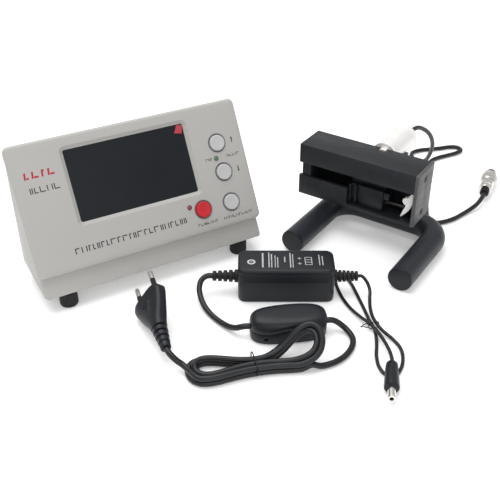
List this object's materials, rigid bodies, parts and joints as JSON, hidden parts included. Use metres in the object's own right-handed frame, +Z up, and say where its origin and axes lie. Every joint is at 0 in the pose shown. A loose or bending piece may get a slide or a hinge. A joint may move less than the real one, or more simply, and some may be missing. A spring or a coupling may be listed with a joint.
{
  "type": "timegrapher",
  "caption": "Watch timing machine set: sloped display unit with screen and keys, a bent-bar microphone stand with rolling head and sprung jaw, and a power adapter with leads.",
  "frame": {"origin": "on the surface everything stands on, below the centre of the box round the display unit, the microphone stand and the adapter (leads and what is on them left out)", "axes": "+Z up; +X to the right as seen from in front of the display unit, along its width; +Y to the back, away from the user"},
  "size_m": [0.4559, 0.2766, 0.1166],
  "materials": {
    "case": "fine matte texture, warm light grey",
    "key": "smooth matte",
    "key_red": "smooth",
    "lamp_g": "tinted lens",
    "lamp_r": "tinted lens",
    "screen": "dark display glass",
    "film": "thin clear protective film",
    "ribbon": "thin flexible film",
    "board": "solder mask",
    "switch": "moulded",
    "feet": "matte",
    "screw": "plated",
    "black_screw": "black oxide",
    "black_metal": "satin black powder coat",
    "black_alu": "satin black anodised",
    "grey_alu": "satin clear anodised end face",
    "silver_alu": "fine turned, satin",
    "steel": "ground, darkened",
    "nickel": "nickel plated",
    "white": "smooth white",
    "ceramic": "thin disc",
    "black_plastic": "fine texture",
    "cord": "smooth satin sheath",
    "insert": "moulded"
  },
  "bodies": {
    "set": {"front_bezel": "case", "case_shell": "case", "base_plate": "case", "rubber_feet": "feet", "case_screws": "screw", "lcd_panel": "screen", "screen_film": "film", "lcd_ribbon": "ribbon", "main_board": "board", "key_board": "board", "key_switches": "switch", "lamp_green": "lamp_g", "lamp_red": "lamp_r", "sounder": "switch", "dc_socket": "switch", "mic_socket": "nickel", "stand_bar": "black_metal", "bar_caps": "black_plastic", "cradle_post": "black_metal", "post_screw": "black_screw", "sensor_cable": "cord", "connector_body": "nickel", "connector_insert": "insert", "adapter_shell": "black_plastic", "adapter_lid": "black_plastic", "adapter_board": "board", "mains_gland": "cord", "dc_gland": "cord", "mains_lead_short": "cord", "inline_box_base": "black_plastic", "inline_box_lid": "black_plastic", "mains_lead_long": "cord", "mains_hank": "cord", "hank_tie": "cord", "mains_lead_end": "cord", "plug_body": "black_plastic", "plug_pins": "nickel", "dc_lead": "cord", "dc_tie": "cord", "dc_plug_body": "black_plastic", "dc_plug_barrel": "nickel"},
    "head": {"head_channel": "black_alu", "head_left_block": "black_alu", "head_right_plate": "grey_alu", "head_screws": "black_screw", "guide_rods": "steel", "jaw_spring": "steel", "sensor_contact": "white", "sensor_housing": "silver_alu", "sensing_disc": "ceramic", "housing_cap": "silver_alu"},
    "jaw": {"sliding_jaw": "black_alu", "jaw_pin": "black_plastic"},
    "key_up": {"key_up": "key"},
    "key_down": {"key_down": "key"},
    "key_menu": {"key_menu": "key"},
    "key_start": {"key_start": "key_red"},
    "nut": {"coupling_nut": "nickel"}
  },
  "joints": [
    {"name": "head_roll", "type": "hinge", "parent": "set", "child": "head", "pos_m": [0.13158, 0.00605, 0.0705], "axis": [0.8886, 0.4587, 0], "range_deg": [-8, 90]},
    {"name": "jaw_slide", "type": "slide", "parent": "head", "child": "jaw", "axis": [-0.4587, 0.8886, 0], "range_m": [0, 0.032], "stiffness_N_per_m": 50, "springref_m": -0.01},
    {"name": "key_up_press", "type": "slide", "parent": "set", "child": "key_up", "axis": [0, 0.8746, -0.4848], "range_m": [0, 0.0012], "stiffness_N_per_m": 800, "springref_m": -0.0004},
    {"name": "key_down_press", "type": "slide", "parent": "set", "child": "key_down", "axis": [0, 0.8746, -0.4848], "range_m": [0, 0.0012], "stiffness_N_per_m": 800, "springref_m": -0.0004},
    {"name": "key_menu_press", "type": "slide", "parent": "set", "child": "key_menu", "axis": [0, 0.8746, -0.4848], "range_m": [0, 0.0012], "stiffness_N_per_m": 800, "springref_m": -0.0004},
    {"name": "key_start_press", "type": "slide", "parent": "set", "child": "key_start", "axis": [0, 0.8746, -0.4848], "range_m": [0, 0.0012], "stiffness_N_per_m": 800, "springref_m": -0.0004},
    {"name": "nut_spin", "type": "hinge", "parent": "set", "child": "nut", "pos_m": [0.25623, 0.00611, 0.0075], "axis": [0.788, 0.6157, 0], "continuous": true}
  ]
}
